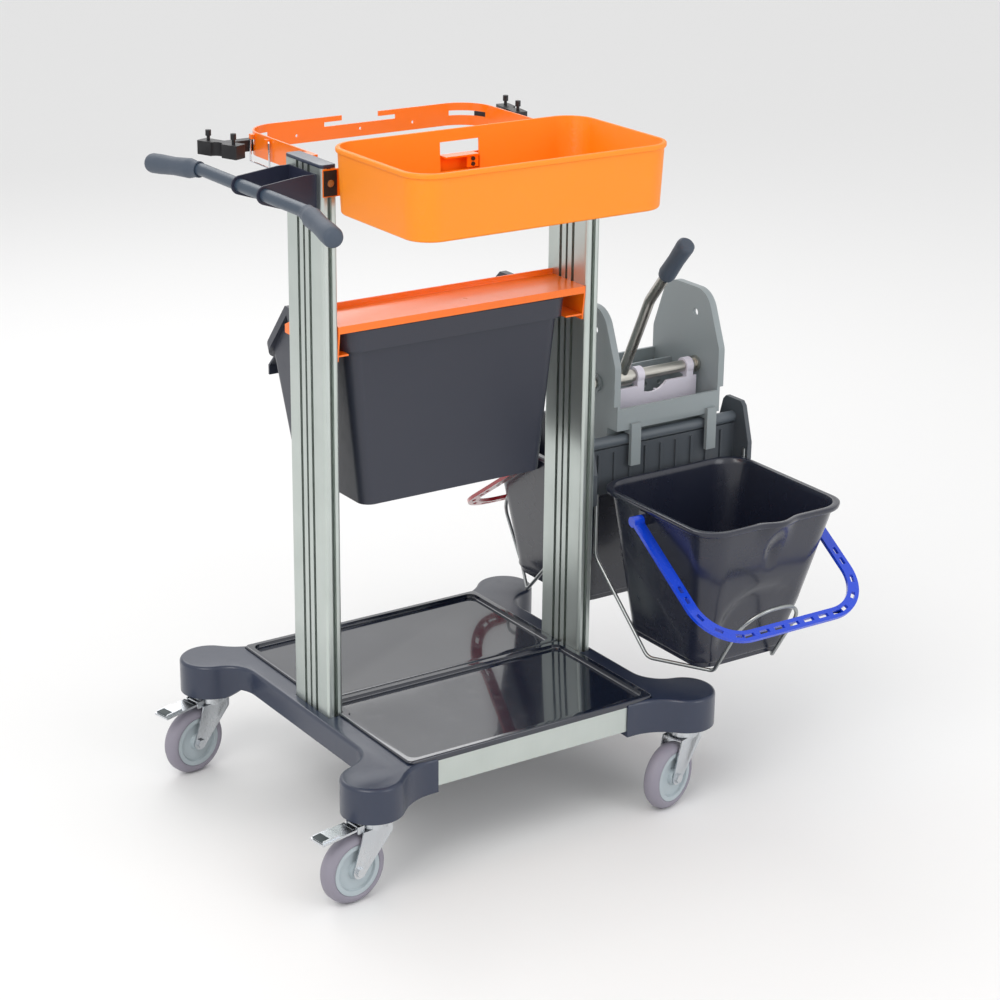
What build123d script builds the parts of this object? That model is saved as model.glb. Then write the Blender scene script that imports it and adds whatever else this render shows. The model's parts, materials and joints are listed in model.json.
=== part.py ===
from build123d import *
from math import cos, radians, sin, sqrt
import os

# Housekeeping cart, all sizes in millimetres.
# Origin: on the floor, midway between the four caster swivel axes.
# +X points to the bucket end, -X to the push handle, -Y is the tray side, +Z is up.

# ---------- driving dimensions ----------
caster_x = 329.5            # swivel axis from the middle, along the cart
caster_y = 294.3            # swivel axis from the middle, across the cart
wheel_d = 125.0
tyre_w = 32.0
hub_d = 93.0
hub_w = 36.0
axle_d = 10.0
caster_trail = 44.0
fork_plate = 3.0
head_z = wheel_d + 30.0     # underside of the foot's lobe, where the caster head bolts up
kingpin_d = 12.0
trail_angles = {"front_left": 187.0, "rear_left": 192.0, "front_right": 197.0, "rear_right": 190.0}
pedal_len = 70.0
pedal_w = 36.0

foot_top = head_z + 64.0
foot_side_bottom = head_z + 19.0
lobe_r = 55.0
foot_x_out = caster_x - 33.5   # outer edge of the foot between its lobes
foot_x_in = caster_x - 129.5   # where the foot ends and the rail is seen
foot_wall = 4.0
foot_outer_blend = 60.0
foot_front_blend = 100.0
foot_y_face = caster_y + 2.7   # flat outer side of the foot, beside its lobe
foot_cover = 3.0            # wall of the foot over the rail's outer face
rail_y_face = foot_y_face - foot_cover
rail_w = 26.0
rail_h = 47.0
rail_z0 = head_z + 11.0
rail_z1 = rail_z0 + rail_h
rail_wall = 2.5

deck_x = foot_x_out - 39.0
deck_y = rail_y_face + 0.5
deck_split = 2.0
deck_seat = rail_z1         # top of the rails, where the trays rest
deck_h = 11.0
deck_top = deck_seat + deck_h
deck_floor = 3.0
deck_rim = 11.0

post_x_in = {"left": deck_x - 8.0, "right": deck_x - 1.0}
post_t = 29.0
post_x_out = {side: x + post_t for side, x in post_x_in.items()}
post_w = 121.0
post_foot_z = head_z + 25.0
post_top = 1203.0
cap_t = 6.0
post_bolt_y = 36.0
post_wall = 3.0
slot_w = 8.0
slot_d = 9.0
slot_step = 19.0

handle_x = -post_x_out["left"] - 94.0
handle_z = 1162.0
handle_d = 22.0
handle_straight = 175.0
handle_end = (handle_x - 28.0, handle_straight + 135.0, handle_z - 10.0)
grip_d = 34.0
bracket_y = 45.0
bracket_t = 3.0
bracket_z0 = handle_z - 40.0
bracket_z1 = handle_z + 24.0

tray_x0 = -post_x_out["left"] + 1.0
tray_x1 = post_x_in["right"] - 31.0
tray_y1 = -post_w / 2 - 5.5
tray_y0 = tray_y1 - 289.0
tray_z0 = 1130.0
tray_z1 = 1240.0
tray_wall = 4.0
tray_r = 50.0
tray_draft = 5.0
strip_z1 = tray_z1 - 44.0   # top of the steel strip that the tray hangs from
strip_z0 = strip_z1 - 46.0
strip_mid = (strip_z0 + strip_z1) / 2
window_z0 = tray_z1 - 70.0
window_z1 = tray_z1 - 20.0
hook_x = -20.0              # middle of the hanging window in the tray's back wall
hook_w = 78.0

bag_x = post_x_in["left"] - 8.0
bag_y = 288.0
bag_r = 62.0
bag_z0 = 1161.0
bag_z1 = 1202.0
bag_t = 3.0
clip_wire = 4.0
clip_y0 = 178.0
clip_y1 = 240.0
clip_drop = 45.0
clip_lug = 8.0
holder_len = 88.0
holder_h = 24.0
holder_t = 26.0
holder_bore = 12.5
holder_x = bag_x + 59.0
holder_y = clip_y1 + 6.0
holder_turn = {"left": 22.0, "right": -10.0}
peg_d = 6.0
peg_step = 28.0

bin_c = -4.0
bin_rim_half = post_x_in["left"] - 18.0
bin_top_half = bin_rim_half - 10.0
bin_corner = 26.0
bin_bottom_half = 187.0
bin_y0 = -48.0
bin_bottom_y1 = 213.0
bin_top_y1 = 268.0
bin_z0 = 592.0
bin_z1 = 912.0
bin_lip_y = 248.0
bin_wall = 3.5
bin_band = 36.0
ledge_gap = 5.325           # from the bin's wall to the ledge that carries its band
shelf_z = bin_z1 + 15.0
shelf_y0 = -60.0
shelf_y1 = 45.0
shelf_t = 3.0
ledge_y1 = 125.0

plate_x = {"left": post_x_out["right"] + 6.0, "right": post_x_out["right"] + 369.0}
bucket_c = plate_x["left"] + 185.0   # middle of the bucket's rim along the cart
bucket_foot_c = bucket_c - 16.0
bucket_half = 167.5
bucket_y_in = 30.0
bucket_y_out = 365.0
bucket_foot_half = 102.0
bucket_foot_y_in = 75.0
bucket_foot_y_out = 300.0
bucket_z0 = deck_top + 26.5
bucket_z1 = 537.0
bucket_wall = 3.0
bail_y = 178.0
bail_z = bucket_z1 - 25.0
bail_reach = 283.0
bail_lean = 56.0
bail_w = 22.0
bail_t = 7.0
bail_bend = 96.0
ear_d = 10.0
ear_tip = bucket_half + 14.0

plate_t = 10.0
tube_z = 600.0
tube_d = 22.0
cradle_wire = 7.0
arch_c = bucket_c - 26.0
arch_half = 68.0
arch_y = 309.0
arch_lean = 32.0
arch_len = 163.0

press_x0 = plate_x["left"] + 77.0
press_x1 = press_x0 + 240.0
press_y0 = -15.0
press_y1 = 190.0
press_back = 16.0           # inner side of the wall that hangs beside the tube
press_z0 = tube_z - 10.0
hook_rest = tube_z + tube_d / 2 + 1.0   # underside of the hooks, over the tube
hook_top = tube_z + 28.0  # upper side of the hooks
shoulder_z = press_z0 + 155.0
cheek_top = press_z0 + 259.0
cheek_flange = 7.0
cheek_deep = 14.0
press_wall = 6.0
screen_y = 130.0            # perforated screen that the plate presses against
shaft_y = 54.0
shaft_z = press_z0 + 110.0
shaft_d = 22.0
lever_x = press_x0 + 57.0
lever_bend = (shaft_y - 81.0, shaft_z + 169.0)
lever_top = (shaft_y - 182.0, shaft_z + 294.0)
lever_grip_len = 96.0

# ---------- named clearances ----------
slip = 0.3                  # parts that drop or slide into each other
running = 0.05              # radial clearance of a pin in its bore

os.makedirs("parts", exist_ok=True)


# ---------- helpers ----------
def span_box(x0, x1, y0, y1, z0, z1):
    size = Box(x1 - x0, y1 - y0, z1 - z0)
    return Pos((x0 + x1) / 2, (y0 + y1) / 2, (z0 + z1) / 2) * size


def soft_box(x0, x1, y0, y1, z0, z1, r):
    face = RectangleRounded(x1 - x0, y1 - y0, r)
    return Pos((x0 + x1) / 2, (y0 + y1) / 2, z0) * extrude(face, z1 - z0)


def upright(x, y, z0, z1, d):
    return Pos(x, y, (z0 + z1) / 2) * Cylinder(d / 2, z1 - z0)


def rod(start, end, d):
    a = Vector(*start)
    b = Vector(*end)
    way = Plane(origin=(a + b) / 2, z_dir=b - a)
    return way * Cylinder(d / 2, (b - a).length)


def side_plate(points, x0, x1):
    """A flat plate drawn as (y, z) points and standing from x0 to x1."""
    outline = Polyline([(y, z) for y, z in points], close=True)
    face = make_face(outline)
    return Plane(origin=(x0, 0, 0), x_dir=(0, 1, 0), z_dir=(1, 0, 0)) * extrude(face, x1 - x0)


def end_plate(points, y0, y1):
    """A flat plate drawn as (x, z) points and standing from y0 to y1."""
    face = make_face(Polyline([(x, z) for x, z in points], close=True))
    return Plane(origin=(0, y1, 0), x_dir=(1, 0, 0), z_dir=(0, -1, 0)) * extrude(face, y1 - y0)


def bent_rod(points, radii, d):
    """A round bar along straight runs joined by tangent arcs."""
    path = FilletPolyline(*points, radius=radii)
    section = Plane(origin=path @ 0, z_dir=path % 0) * Circle(d / 2)
    return sweep(section, path=path)


def frustum(low, high, z0, z1, r_low, r_high):
    """A tapered block between two rounded rectangles given as (x0, x1, y0, y1)."""
    faces = []
    for (x0, x1, y0, y1), z, r in ((low, z0, r_low), (high, z1, r_high)):
        place = Pos((x0 + x1) / 2, (y0 + y1) / 2, z)
        faces.append(place * RectangleRounded(x1 - x0, y1 - y0, r))
    return loft(faces)


def grown(span, by):
    x0, x1, y0, y1 = span
    return (x0 - by, x1 + by, y0 - by, y1 + by)


def save(name, *solids):
    shape = solids[0] if len(solids) == 1 else Compound(children=list(solids))
    export_step(shape, f"parts/{name}.step")


def across_x(shape):
    return mirror(shape, about=Plane.YZ)


def across_y(shape):
    return mirror(shape, about=Plane.XZ)


# ---------- casters ----------
crown_z0 = wheel_d + 5.0
crown_z1 = head_z - 7.4
head_plate = head_z - crown_z1 - 0.4
leg_y = hub_w / 2 + 1.0
pivot_x = -38.0
pivot_z = crown_z0 + 8.5
pedal_pin = 6.0


def caster_fork(braked):
    leg_outline = make_hull(
        (Pos(-caster_trail, wheel_d / 2) * Circle(13.0)).edges()
        + (Pos(-4.0, crown_z0 - 4.0) * Rectangle(60.0, 14.0)).edges()
    )
    fork = span_box(-34.0, 26.0, -leg_y - fork_plate, leg_y + fork_plate, crown_z0, crown_z0 + 3.0)
    for y1 in (leg_y + fork_plate, -leg_y):
        place = Plane(origin=(0, y1, 0), x_dir=(1, 0, 0), z_dir=(0, -1, 0))
        fork += place * extrude(leg_outline, fork_plate)
    fork += upright(0, 0, crown_z0, crown_z1, 54.0)
    if braked:
        for y in (14.0, -17.0):
            fork += span_box(pivot_x - 6.0, -30.0, y, y + 3.0, crown_z0, pivot_z + 5.0)
        fork += rod((pivot_x, -15.0, pivot_z), (pivot_x, 15.0, pivot_z), pedal_pin)
    fork -= upright(0, 0, crown_z0 - 8.0, crown_z1 + 1.0, kingpin_d + 2 * running)
    fork -= rod((-caster_trail, -40, wheel_d / 2), (-caster_trail, 40, wheel_d / 2), axle_d)
    return fork


def caster_axle():
    end = leg_y + fork_plate
    bolt = rod((-caster_trail, -end, wheel_d / 2), (-caster_trail, end, wheel_d / 2), axle_d)
    for y in (-end - 5.0, end):
        place = Plane(origin=(-caster_trail, y, wheel_d / 2), x_dir=(1, 0, 0), z_dir=(0, 1, 0))
        bolt += place * extrude(RegularPolygon(9.0, 6), 5.0)
    return bolt


def wheel_turn(points):
    """A ring turned about the wheel's own axle from (radius, across) points."""
    face = make_face(Polyline([(r, a) for r, a in points], close=True))
    ring = revolve(face, axis=Axis.Y)
    return Pos(-caster_trail, 0, wheel_d / 2) * ring


def caster_hub():
    r_bore = axle_d / 2 + running
    r_out = hub_d / 2
    half = hub_w / 2
    rim = tyre_w / 2 - 1.0
    web = rim - 5.0
    outline = [(r_bore, -half), (14.0, -half), (16.0, -web), (36.0, -web), (38.0, -rim), (r_out, -rim)]
    mirrored = [(r, -a) for r, a in reversed(outline)]
    return wheel_turn(outline + mirrored)


def caster_tyre():
    r_in = hub_d / 2
    r_out = wheel_d / 2
    half = tyre_w / 2
    outline = [(r_in, -half + 1), (r_in + 3, -half), (r_out - 10, -half), (r_out - 4, -half + 4)]
    outline += [(r_out, -half + 11)]
    mirrored = [(r, -a) for r, a in reversed(outline)]
    return wheel_turn(outline + mirrored)


def caster_head():
    head = upright(0, 0, head_z - head_plate, head_z, 60.0)
    head += upright(0, 0, crown_z0 + 4.0, head_z, kingpin_d)
    head += upright(0, 0, head_z, head_z + 30.0, 20.0)
    return head


def brake_pedal():
    half = pedal_w / 2
    barrel = rod((pivot_x, -13.5, pivot_z), (pivot_x, 13.5, pivot_z), 11.0)
    neck = span_box(pivot_x - 14.0, pivot_x, -13.0, 13.0, pivot_z - 1.5, pivot_z + 2.5)
    tip = pivot_x - 9.0 - pedal_len
    slope = [(pivot_x - 9.0, pivot_z + 2.5), (tip, pivot_z - 3.0), (tip, pivot_z - 7.0)]
    slope += [(tip + 8.0, pivot_z - 6.5), (pivot_x - 9.0, pivot_z - 1.5)]
    tread = end_plate(slope, -half, half)
    pad = end_plate([(tip + 2.0, pivot_z + 1.0), (tip + 36.0, pivot_z + 4.0),
                     (tip + 38.0, pivot_z), (tip + 2.0, pivot_z - 3.0)], -half + 3, half - 3)
    pedal = barrel + neck + tread + pad
    return pedal - rod((pivot_x, -20, pivot_z), (pivot_x, 20, pivot_z), pedal_pin + 2 * running)


def build_casters():
    heads = []
    for name, turn in trail_angles.items():
        side = -1 if "left" in name else 1
        depth = -1 if "front" in name else 1
        place = Pos(side * caster_x, depth * caster_y, 0)
        turned = place * Rot(0, 0, turn - 180.0)
        braked = "left" in name
        save(f"caster_fork_{name}", turned * caster_fork(braked))
        save(f"caster_axle_{name}", turned * caster_axle())
        save(f"caster_hub_{name}", turned * caster_hub())
        save(f"caster_tyre_{name}", turned * caster_tyre())
        if braked:
            save(f"brake_pedal_{name}", turned * brake_pedal())
        heads.append(place * caster_head())
    save("caster_heads", *heads)


# ---------- chassis ----------
def foot_outline():
    """Half of the left foot's plan, for the front lobe; the other half is its mirror."""
    lobe_x = -caster_x
    lobe_y = -caster_y
    plan = Pos(lobe_x, lobe_y) * Circle(lobe_r)
    body = Polyline([(-foot_x_out, 0), (-foot_x_out, lobe_y), (lobe_x, -foot_y_face),
                     (-foot_x_in, -foot_y_face), (-foot_x_in, 0)], close=True)
    plan += make_face(body)
    outer_x = -foot_x_out - foot_outer_blend
    reach = lobe_r + foot_outer_blend
    outer_y = lobe_y + sqrt(reach ** 2 - (lobe_x - outer_x) ** 2)
    corner = Polyline([(lobe_x, lobe_y), (outer_x, outer_y), (-foot_x_out, outer_y),
                       (-foot_x_out, lobe_y)], close=True)
    plan += make_face(corner) - Pos(outer_x, outer_y) * Circle(foot_outer_blend)
    front_y = -foot_y_face - foot_front_blend
    reach = lobe_r + foot_front_blend
    front_x = lobe_x + sqrt(reach ** 2 - (lobe_y - front_y) ** 2)
    corner = Polyline([(lobe_x, lobe_y), (front_x, front_y), (front_x, -foot_y_face),
                       (lobe_x, -foot_y_face)], close=True)
    plan += make_face(corner) - Pos(front_x, front_y) * Circle(foot_front_blend)
    return plan


def post_span(side):
    inner = post_x_in[side]
    if side == "left":
        return (-inner - post_t, -inner)
    return (inner, inner + post_t)


def foot(side):
    half = foot_outline()
    plan = half + mirror(half, about=Plane.XZ)
    body = extrude(plan, foot_top - head_z)
    body = Pos(0, 0, head_z) * body
    top_edges = body.faces().sort_by(Axis.Z)[-1].edges()
    body = fillet(top_edges, 7.0)
    middle = caster_y - lobe_r - 22.0
    body -= span_box(-500, 0, -middle, middle, head_z - 1, foot_side_bottom)
    for y in (-1, 1):
        slope = [(y * middle, head_z - 1), (y * (middle + 20), head_z - 1), (y * middle, foot_side_bottom)]
        body -= side_plate(slope, -500, 0)
    inside = offset(plan, amount=-foot_wall)
    hollow = Pos(0, 0, head_z - 1) * extrude(inside, deck_seat - foot_wall - head_z + 1)
    for y in (-caster_y, caster_y):
        hollow -= upright(-caster_x, y, head_z - 2, foot_top, 44.0)
        hollow -= span_box(-foot_x_in - 45, -foot_x_in + 1, y - 45, y + 45, head_z - 2, foot_top)
    x0, x1 = post_span("left")
    hollow -= span_box(x0 - 20, x1 + 20, -post_w / 2 - 14, post_w / 2 + 14, head_z - 2, foot_top)
    body -= hollow
    seat_x0 = -deck_x - slip
    body -= soft_box(seat_x0, 0, -deck_y - slip, deck_y + slip, deck_seat, foot_top + 1, 6.0)
    if side == "right":
        body = across_x(body)
    x0, x1 = post_span(side)
    edge = post_w / 2
    body -= span_box(x0 - slip, x1 + slip, -edge - slip, edge + slip, post_foot_z, foot_top + 1)
    sign = -1 if side == "left" else 1
    for y in (-caster_y, caster_y):
        body -= upright(sign * caster_x, y, head_z - 1, head_z + 30.0, 20.0)
        rail_y = rail_y_face - rail_w / 2
        depth = rail_y if y > 0 else -rail_y
        socket = span_box(-30, 30, -rail_w / 2 - slip, rail_w / 2 + slip, rail_z0 - slip, rail_z1 + slip)
        body -= Pos(sign * foot_x_in, depth, 0) * socket
    for y in (-post_bolt_y, post_bolt_y):
        middle_x = (x0 + x1) / 2
        body -= upright(middle_x, y, head_z - 1, post_foot_z + 1, 8.0)
    return body


def rail():
    y0 = -rail_y_face
    length = foot_x_in + 30.0 - slip
    bar = span_box(-length, length, y0, y0 + rail_w, rail_z0, rail_z1)
    bar -= span_box(-length - 1, length + 1, y0 + rail_wall, y0 + rail_w - rail_wall,
                    rail_z0 + rail_wall, rail_z1 - rail_wall)
    return bar


def deck_tray():
    """The front tray; its rim steps round each post."""
    x = deck_x
    tray = soft_box(-x, x, -deck_y, -deck_split / 2, deck_seat, deck_top, 10.0)
    tray = fillet(tray.faces().sort_by(Axis.Z)[-1].edges(), 3.0)
    pocket = soft_box(-x + deck_rim, x - deck_rim, -deck_y + deck_rim, -deck_split / 2 - deck_rim,
                      deck_seat + deck_floor, deck_top + 1, 16.0)
    pocket = fillet(pocket.faces().sort_by(Axis.Z)[0].edges(), 3.0)
    for side in ("left", "right"):
        x0, x1 = post_span(side)
        edge = post_w / 2
        notch = span_box(x0 - slip, x1 + slip, -edge - slip, edge + slip, 0, 400)
        keep = soft_box(x0 - deck_rim, x1 + deck_rim, -edge - deck_rim, edge + deck_rim, 0, 400, 8.0)
        pocket -= keep
        tray -= notch
    return tray - pocket


def tee_slot(width, depth, length):
    """A groove cutter along Z, opening at y = 0 and cutting towards -Y."""
    throat = Pos(0, -depth / 2, 0) * Box(width, depth + 0.02, length)
    pocket = Pos(0, -depth + 2.0, 0) * Box(width + 5.0, 4.0, length)
    return throat + pocket


def post(side):
    x0, x1 = post_span(side)
    top = post_top - cap_t
    bar = soft_box(x0, x1, -post_w / 2, post_w / 2, post_foot_z, top, 6.0)
    length = top - post_foot_z + 2
    z = (top + post_foot_z) / 2
    middle_x = (x0 + x1) / 2
    for y in (-slot_step, 0, slot_step):
        width = slot_w - 2.0 if y == 0 else slot_w
        bar -= Pos(x1, y, z) * Rot(0, 0, -90) * tee_slot(width, slot_d, length)
        bar -= Pos(x0, y, z) * Rot(0, 0, 90) * tee_slot(width, slot_d, length)
    bar -= Pos(middle_x, post_w / 2, z) * tee_slot(slot_w, slot_d, length)
    bar -= Pos(middle_x, -post_w / 2, z) * Rot(0, 0, 180) * tee_slot(slot_w, slot_d, length)
    for y in (-post_bolt_y, post_bolt_y):
        bar -= Pos(middle_x, y, z) * Box(post_t - 2 * post_wall, 14.0, length)
    return bar


def post_cap(side):
    x0, x1 = post_span(side)
    top = soft_box(x0, x1, -post_w / 2, post_w / 2, post_top - cap_t, post_top, 6.0)
    top = fillet(top.faces().sort_by(Axis.Z)[-1].edges(), 2.0)
    middle_x = (x0 + x1) / 2
    for y in (-post_bolt_y, post_bolt_y):
        plug = Box(post_t - 2 * post_wall - 2 * slip, 14.0 - 2 * slip, 20.0)
        top += Pos(middle_x, y, post_top - cap_t - 10.0) * plug
    tab = Box(slot_w - 2 * slip, 7.0, 14.0)
    for y in (-1, 1):
        top += Pos(middle_x, y * (post_w / 2 - 3.5), post_top - cap_t - 7.0) * tab
    return top


def post_bolts():
    bolts = []
    for side in ("left", "right"):
        x0, x1 = post_span(side)
        for y in (-post_bolt_y, post_bolt_y):
            x = (x0 + x1) / 2
            bolt = upright(x, y, head_z, post_foot_z + 40.0, 8.0)
            place = Pos(x, y, head_z - 6.0)
            bolt += place * extrude(RegularPolygon(7.5, 6), 6.0)
            nut = Pos(x, y, post_foot_z + 12.0) * Box(post_t - 2 * post_wall - 2 * slip, 13.4, 8.0)
            bolts.append(bolt + nut)
    return bolts


def build_chassis():
    for side in ("left", "right"):
        save(f"foot_{side}", foot(side))
        save(f"post_{side}", post(side))
    save("post_caps", post_cap("left"), post_cap("right"))
    save("rail_front", rail())
    save("rail_rear", across_y(rail()))
    save("deck_tray_front", deck_tray())
    save("deck_tray_rear", across_y(deck_tray()))
    save("post_bolts", *post_bolts())


# ---------- push handle ----------
def handle_bracket():
    face_x = post_span("left")[0]
    y = bracket_y
    base = span_box(face_x - bracket_t, face_x, -y, y, bracket_z0, bracket_z1)
    ring = handle_d / 2 + 5.0
    outline = make_hull(
        (Pos(handle_x, handle_z) * Circle(ring)).edges()
        + (Pos(face_x - 12.0, (bracket_z0 + bracket_z1) / 2)
           * Rectangle(24.0, bracket_z1 - bracket_z0)).edges()
    )
    for y1 in (y, -y + bracket_t):
        place = Plane(origin=(0, y1, 0), x_dir=(1, 0, 0), z_dir=(0, -1, 0))
        base += place * extrude(outline, bracket_t)
    base -= rod((handle_x, -y - 5, handle_z), (handle_x, y + 5, handle_z), handle_d)
    for y in (-slot_step, slot_step):
        hole_z = (bracket_z0 + bracket_z1) / 2
        base -= rod((face_x - 9, y, hole_z), (face_x + 1, y, hole_z), 6.4)
    return base


def handle_end_point(depth):
    x, y, z = handle_end
    return (x, depth * y, z)


def handle_corner(depth):
    return (handle_x, depth * handle_straight, handle_z)


def handle_way(depth):
    return (Vector(*handle_end_point(depth)) - Vector(*handle_corner(depth))).normalized()


def handle_bar():
    points = [handle_end_point(-1), handle_corner(-1), handle_corner(1), handle_end_point(1)]
    bar = bent_rod(points, 60.0, handle_d)
    return bar


def handle_grip(depth):
    start = Vector(*handle_corner(depth)) + handle_way(depth) * 8.0
    end = Vector(*handle_end_point(depth))
    length = (end - start).length + 5.0
    r = grip_d / 2
    bore = handle_d / 2
    outline = [(0, length), (r - 6, length), (r - 1.5, length - 3), (r, length - 9),
               (r, length - 30), (r - 1.5, length * 0.5), (r, 26), (r - 2, 16), (r - 3, 12),
               (r - 3, 0), (bore, 0), (bore, length - 5.0), (0, length - 5.0)]
    face = make_face(Polyline([(a, b) for a, b in outline], close=True))
    turned = revolve(face, axis=Axis.Y)
    stand = Plane(origin=start, z_dir=handle_way(depth))
    return stand * (Rot(90, 0, 0) * turned)


def screw_x(x, y, z, head, shank, way):
    """A pan-head screw along X whose head stands on the face at x; way is the head's direction."""
    screw = rod((x, y, z), (x + way * 3.0, y, z), head)
    return screw + rod((x, y, z), (x - way * 8.0, y, z), shank)


def handle_screws():
    face_x = post_span("left")[0] - bracket_t
    z = (bracket_z0 + bracket_z1) / 2
    return [screw_x(face_x, y, z, 12.0, 6.4, -1) for y in (-slot_step, slot_step)]


def build_handle():
    save("handle_bracket", handle_bracket())
    bar = handle_bar()
    save("handle_bar", bar)
    save("handle_grip_front", handle_grip(-1) - bar)
    save("handle_grip_rear", handle_grip(1) - bar)


# ---------- top tray ----------
def top_tray():
    plan = (tray_x0, tray_x1, tray_y0, tray_y1)
    low = grown(plan, -tray_draft - 3.0)
    high = grown(plan, -3.0)
    shell = frustum(low, high, tray_z0, tray_z1, tray_r - 4, tray_r)
    shell = fillet(shell.faces().sort_by(Axis.Z)[0].edges(), 5.0)
    hollow = frustum(grown(low, -tray_wall), grown(high, -tray_wall), tray_z0 + tray_wall,
                     tray_z1 + 0.5, tray_r - 4 - tray_wall, tray_r - tray_wall)
    x0, x1, y0, y1 = plan
    rim = soft_box(x0, x1, y0, y1, tray_z1 - 9.0, tray_z1, tray_r + 3)
    rim = fillet(rim.edges().filter_by(Plane.XY), 3.0)
    tray = shell + rim - hollow
    window = span_box(hook_x - hook_w / 2, hook_x + hook_w / 2, y1 - 14, y1 + 3, window_z0, window_z1)
    return tray - window


def rail_face_y():
    return -post_w / 2


def tray_inner_back():
    return tray_y1 - 3.0 - tray_draft - tray_wall


def tray_rail():
    """The steel strip across both posts that the tray hangs from, with its hook."""
    face = rail_face_y()
    x0 = post_span("left")[0] + 2
    x1 = post_span("right")[1] - 2
    strip = span_box(x0, x1, face - 3.0, face, strip_z0, strip_z1)
    hook_x0 = hook_x - hook_w / 2 + 6
    hook_x1 = hook_x + hook_w / 2 - 6
    tray_in = tray_inner_back()
    hook = span_box(hook_x0, hook_x1, tray_in - 6.0, face, strip_z1 - 3.0, strip_z1)
    tongue = span_box(hook_x1 - 22, hook_x1, tray_in - 3.0, tray_in - 0.4, strip_z1 - 22.0, strip_z1)
    tongue += span_box(hook_x1 - 22, hook_x1, tray_in - 6.0, tray_in - 0.4, strip_z1 - 3.0, strip_z1)
    for x in (post_mid("left"), post_mid("right")):
        strip -= rod((x, face - 5, strip_mid), (x, face + 1, strip_mid), 6.4)
    return strip + hook + tongue


def post_mid(side):
    x0, x1 = post_span(side)
    return (x0 + x1) / 2


def tray_spacers():
    """The dark plates clamped over the strip, between each post and the tray."""
    face = rail_face_y() - 3.0
    plates = []
    for side in ("left", "right"):
        x = post_mid(side)
        plate = span_box(x - 12, x + 12, face - 2.0, face, strip_z0 + 2.0, strip_z1 - 2.0)
        plates.append(plate - rod((x, face - 5, strip_mid), (x, face + 1, strip_mid), 6.4))
    return plates


def black_screws():
    """The two small screws that hold the hook's tongue, seen through the window."""
    back = tray_inner_back() - 3.0
    x = hook_x + hook_w / 2 - 17
    return [rod((x, back - 2.0, z), (x, back, z), 7.0) for z in (strip_z1 - 17.0, strip_z1 - 8.0)]


def build_tray():
    save("top_tray", top_tray())
    save("tray_rail", tray_rail())
    save("tray_spacers", *tray_spacers())
    save("black_screws", *black_screws())


# ---------- bag holder ----------
def bag_frame():
    x = bag_x
    y_end = post_w / 2 - 40
    outline = RectangleRounded(2 * x, 2 * bag_y, bag_r)
    inline = RectangleRounded(2 * (x - bag_t), 2 * (bag_y - bag_t), bag_r - bag_t)
    band = Pos(0, 0, bag_z0) * extrude(outline - inline, bag_z1 - bag_z0)
    band -= span_box(-400, 400, -400, y_end, bag_z0 - 1, bag_z1 + 1)
    left = post_span("left")[1]
    right = post_span("right")[0]
    band += span_box(left, -x + bag_t, y_end, y_end + 30, bag_z0, bag_z1)
    band += span_box(x - bag_t, right, y_end, y_end + 30, bag_z0, bag_z1)
    y0 = bag_y - 10
    y1 = bag_y + 5
    notch = span_box(-38, 38, y0, y1, bag_z1 - 17, bag_z1 + 1)
    for sign in (-1, 1):
        slot_x0, slot_x1 = sorted((sign * 30, sign * 74))
        notch += span_box(slot_x0, slot_x1, y0, y1, bag_z1 - 17, bag_z1 - 9)
    band -= notch
    for x_hole in (-130, 0, 110):
        band -= rod((x_hole, y0, bag_z0 + 14), (x_hole, y1, bag_z0 + 14), 5.0)
    return band + clip_lugs() - corner_slots() - clip_bore()


def corner_slots():
    """The long slots that follow the band's two rear corners."""
    ring = Circle(bag_r + 3) - Circle(bag_r - 8)
    reach = 2 * bag_r
    sector = make_face(Polyline([(0, 0), (reach * cos(radians(12)), reach * sin(radians(12))),
                                 (reach, reach), (reach * cos(radians(82)), reach * sin(radians(82)))],
                                close=True))
    slot = Pos(bag_x - bag_r, bag_y - bag_r, bag_z0 + 18) * extrude(ring & sector, 9.0)
    return slot + across_x(slot)


def clip_pivot():
    """Where the left wire clip turns, as (x, z)."""
    return (-bag_x - clip_lug / 2, bag_z1 - 7.0)


def clip_lugs():
    x, z = clip_pivot()
    lugs = span_box(x - clip_lug / 2, -bag_x + 1, clip_y0, clip_y0 + 9, z - 4, z + 4)
    lugs += span_box(x - clip_lug / 2, -bag_x + 1, clip_y1 - 9, clip_y1, z - 4, z + 4)
    return lugs + across_x(lugs)


def clip_bore():
    x, z = clip_pivot()
    bore = rod((x, clip_y0 - 1, z), (x, clip_y1 + 1, z), clip_wire + 2 * running)
    return bore + across_x(bore)


def bag_clip():
    """The left wire clip: its two ends turn in the band's lugs and the loop hangs down outside."""
    x, z = clip_pivot()
    low = z - clip_drop
    y0 = clip_y0 - clip_wire / 2 - 1.0
    y1 = clip_y1 + clip_wire / 2 + 1.0
    points = [(x, clip_y0 + 10, z), (x, y0, z), (x, y0, low), (x, y1, low), (x, y1, z),
              (x, clip_y1 - 10, z)]
    return bent_rod(points, 2.6, clip_wire)


def holder_place(side):
    sign = -1 if side == "left" else 1
    return Pos(sign * holder_x, holder_y, bag_z0 + 4) * Rot(0, 0, holder_turn[side])


def side_pegs(side):
    pegs = []
    for y in (-peg_step, peg_step):
        peg = upright(0, y, holder_h / 2, holder_h + 12, peg_d)
        peg += upright(0, y, holder_h + 8, holder_h + 18, 10.0)
        pegs.append(holder_place(side) * peg)
    return pegs


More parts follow.
